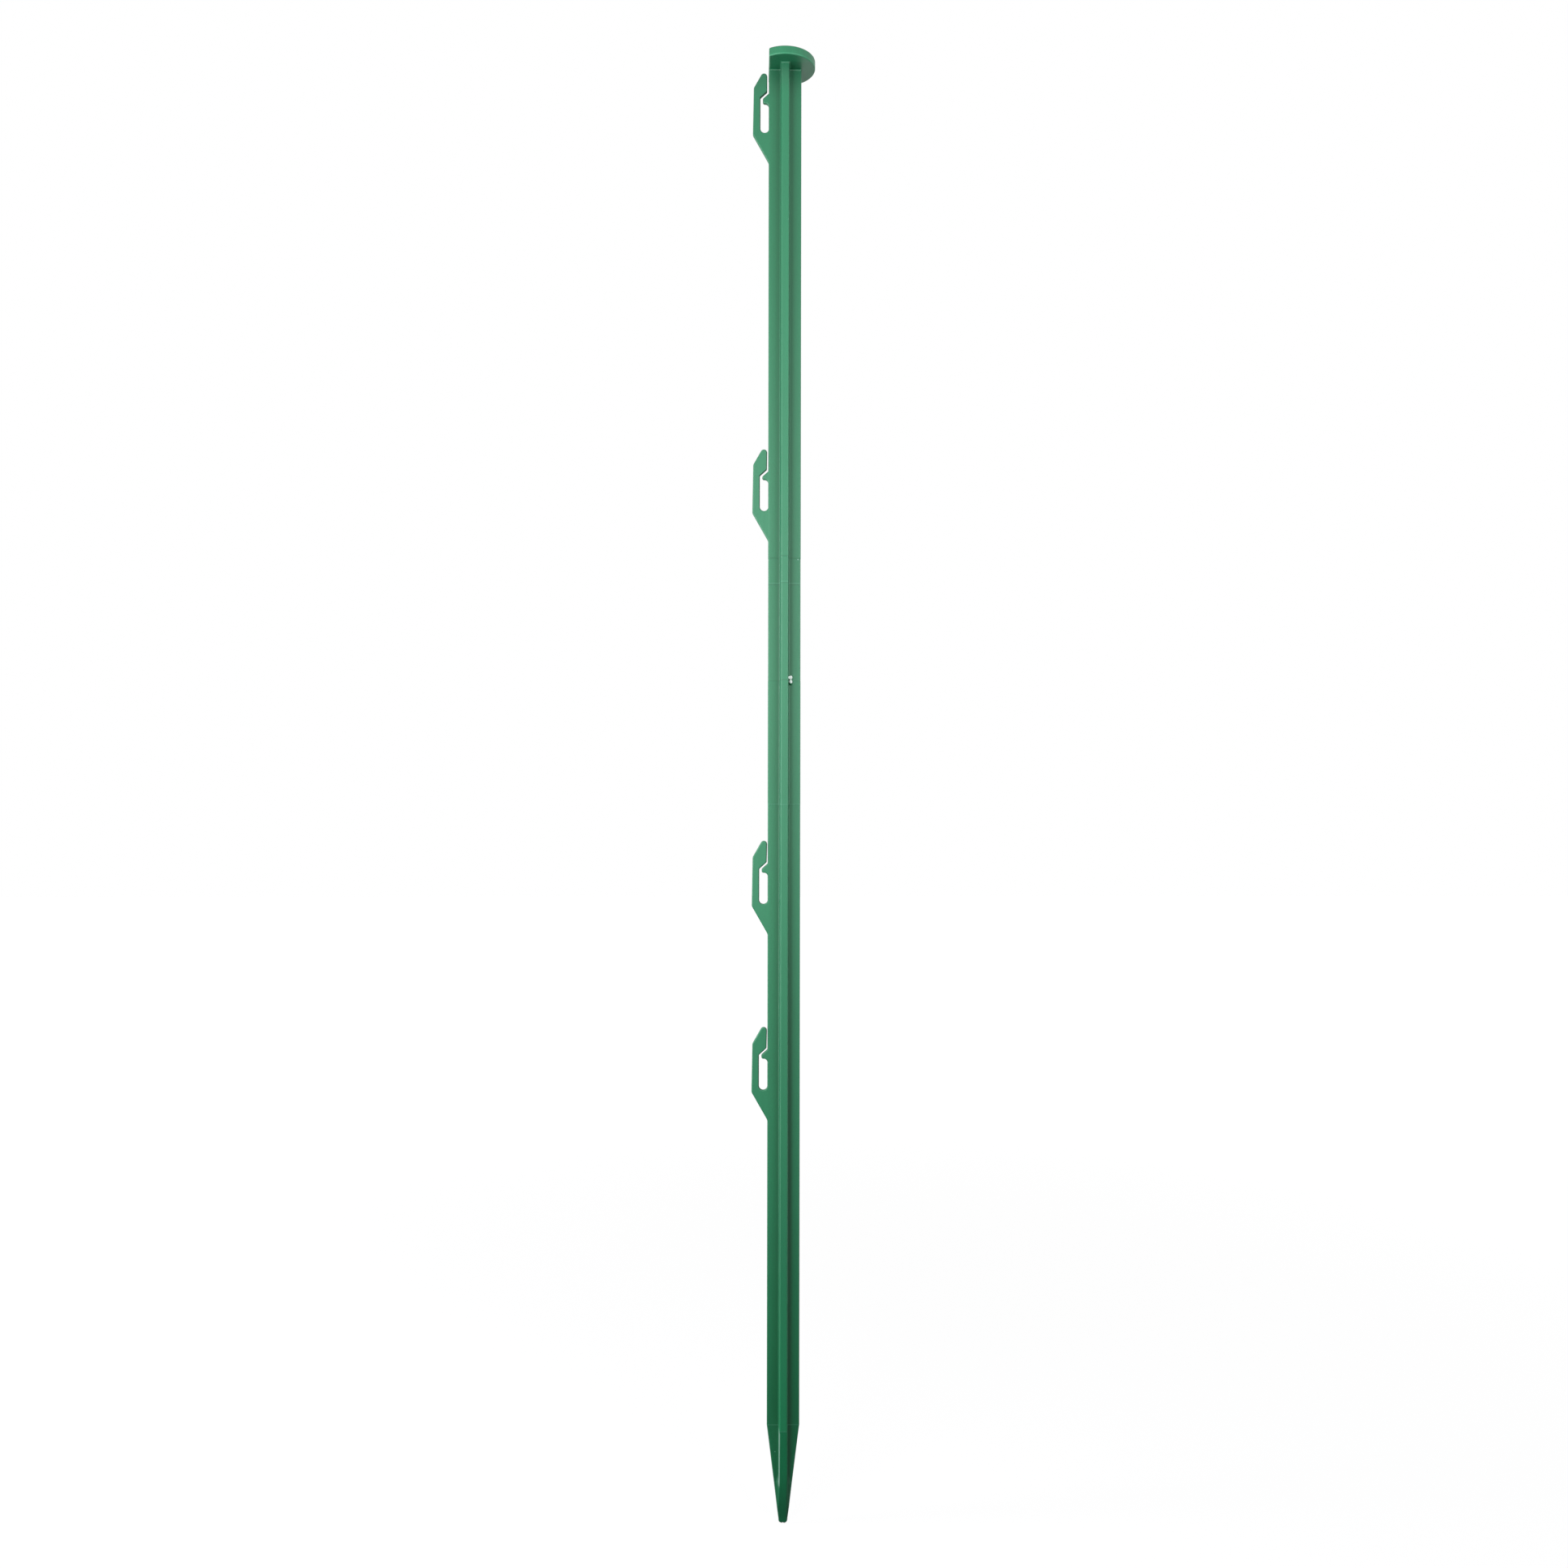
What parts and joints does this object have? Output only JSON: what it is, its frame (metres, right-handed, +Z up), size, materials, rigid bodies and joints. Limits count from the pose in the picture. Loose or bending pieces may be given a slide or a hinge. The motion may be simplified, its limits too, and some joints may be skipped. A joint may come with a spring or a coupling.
{
  "type": "plastic fence post",
  "caption": "One-piece green plastic fence post with a cross-shaped shaft, round hammer head, snap-in rope hooks down one edge and a blade-like point.",
  "frame": {"origin": "on the post's axis at the very end of the point", "axes": "+Z up the post to the hammer head, the hooks on the -X side in the plane of the plate, -Y the front with the gate mark"},
  "size_m": [0.051, 0.0494, 1.2],
  "materials": {
    "post": "satin"
  },
  "bodies": {
    "root": {"post": "post"}
  },
  "joints": []
}
